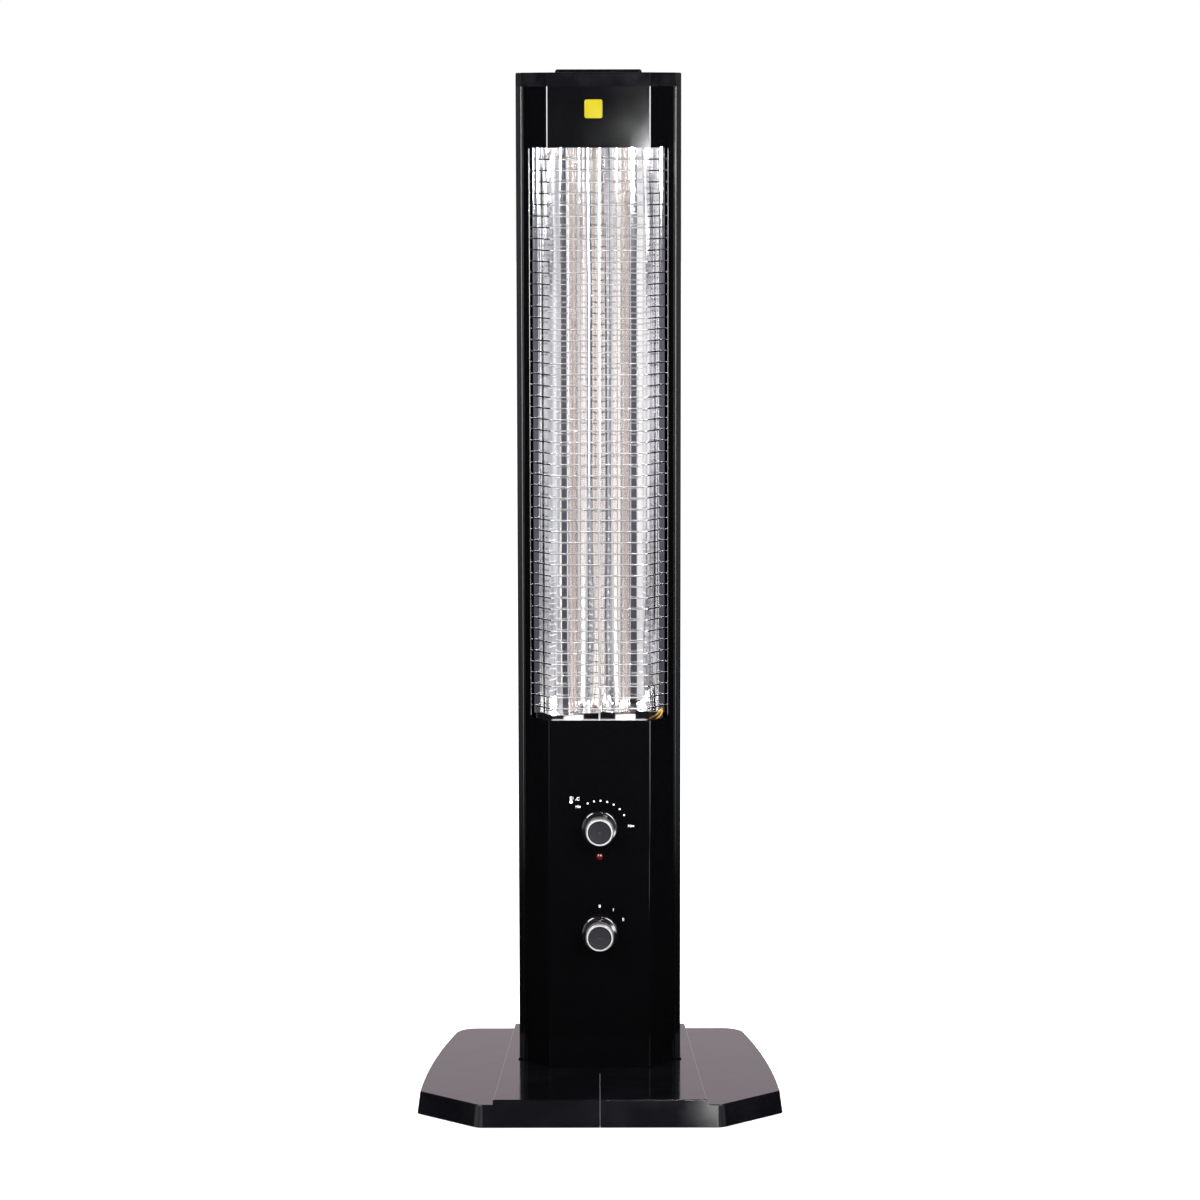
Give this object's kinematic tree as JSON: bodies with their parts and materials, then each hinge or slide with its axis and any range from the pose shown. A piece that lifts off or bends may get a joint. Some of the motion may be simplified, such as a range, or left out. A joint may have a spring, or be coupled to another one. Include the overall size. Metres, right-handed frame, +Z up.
{
  "type": "electric radiator",
  "caption": "Upright quartz tube electric heater: a faceted black tower with a wire guard and two rotary knobs, standing on a wide flat two-part foot.",
  "frame": {"origin": "on the floor, under the middle of the foot's outline", "axes": "+Z up, the front with the guard and knobs faces -Y, +X to the viewer's right"},
  "size_m": [0.3692, 0.322, 1.0469],
  "materials": {
    "black_cap_plastic": "glossy moulded black",
    "black_enamel": "gloss black stove enamel",
    "black_foot_plastic": "glossy moulded black",
    "brass_parts": "plain",
    "chromed_wire": "bright",
    "control_plastic": "matte",
    "glide_rubber": "matte",
    "knob_face_grey": "semi gloss",
    "knob_plastic": "glossy moulded black",
    "lead_insulation": "silicone sleeve",
    "polished_reflector": "mirror polished",
    "quartz_glass": "clear",
    "red_lens": "translucent red",
    "resistance_wire": "oxidised",
    "screw_steel": "blackened",
    "silver_sleeve": "satin",
    "spindle_steel": "turned",
    "white_ceramic": "unglazed white",
    "zinc_steel": "zinc plated"
  },
  "bodies": {
    "heater": {"cable_gland": "control_plastic", "carry_bar": "black_cap_plastic", "channel_spacers": "zinc_steel", "control_screws": "screw_steel", "end_cap_lower_left": "white_ceramic", "end_cap_lower_right": "white_ceramic", "end_cap_upper_left": "white_ceramic", "end_cap_upper_right": "white_ceramic", "foot_left": "black_foot_plastic", "foot_right": "black_foot_plastic", "foot_screws": "screw_steel", "foot_tray": "black_enamel", "front_shell": "black_enamel", "gland_nut": "control_plastic", "glide_back_left": "glide_rubber", "glide_back_right": "glide_rubber", "glide_front_left": "glide_rubber", "glide_front_right": "glide_rubber", "guard": "chromed_wire", "guard_clips": "zinc_steel", "heating_coil_left": "resistance_wire", "heating_coil_right": "resistance_wire", "housing_screws": "screw_steel", "lead_cutout": "lead_insulation", "lead_jumper": "lead_insulation", "lead_line": "lead_insulation", "lead_neutral": "lead_insulation", "lead_thermostat": "lead_insulation", "lead_tip_switch": "lead_insulation", "lead_tube_left": "lead_insulation", "lead_tube_right": "lead_insulation", "pilot_body": "control_plastic", "pilot_lens": "red_lens", "quartz_tube_left": "quartz_glass", "quartz_tube_right": "quartz_glass", "rear_housing": "black_enamel", "reflector": "polished_reflector", "reflector_channel": "zinc_steel", "reflector_plate_bottom": "polished_reflector", "reflector_plate_top": "polished_reflector", "selector_body": "control_plastic", "terminal_block": "control_plastic", "terminal_screws": "brass_parts", "thermal_cutout": "control_plastic", "thermostat_body": "control_plastic", "tie_plate": "zinc_steel", "tip_switch_body": "control_plastic", "tip_switch_spring": "brass_parts", "top_cap": "black_cap_plastic", "tube_bracket_lower": "zinc_steel", "tube_bracket_upper": "zinc_steel"},
    "thermostat_dial": {"thermostat_spindle": "spindle_steel", "thermostat_knob": "knob_plastic", "thermostat_knob_sleeve": "silver_sleeve", "thermostat_knob_face": "knob_face_grey"},
    "selector_dial": {"selector_spindle": "spindle_steel", "selector_knob": "knob_plastic", "selector_knob_sleeve": "silver_sleeve", "selector_knob_face": "knob_face_grey"},
    "tip_plunger": {"tip_switch_plunger": "control_plastic"}
  },
  "joints": [
    {"name": "thermostat_turn", "type": "hinge", "parent": "heater", "child": "thermostat_dial", "pos_m": [0, -0.031, 0.28], "axis": [0, 1, 0], "range_deg": [-67, 63]},
    {"name": "selector_turn", "type": "hinge", "parent": "heater", "child": "selector_dial", "pos_m": [0, -0.031, 0.171], "axis": [0, 1, 0], "range_deg": [0, 60]},
    {"name": "tip_switch_slide", "type": "slide", "parent": "heater", "child": "tip_plunger", "axis": [0, 0, 1], "range_m": [-0.006, 0], "stiffness_N_per_m": 100, "springref_m": -0.006, "deforming": ["tip_switch_spring"]}
  ]
}
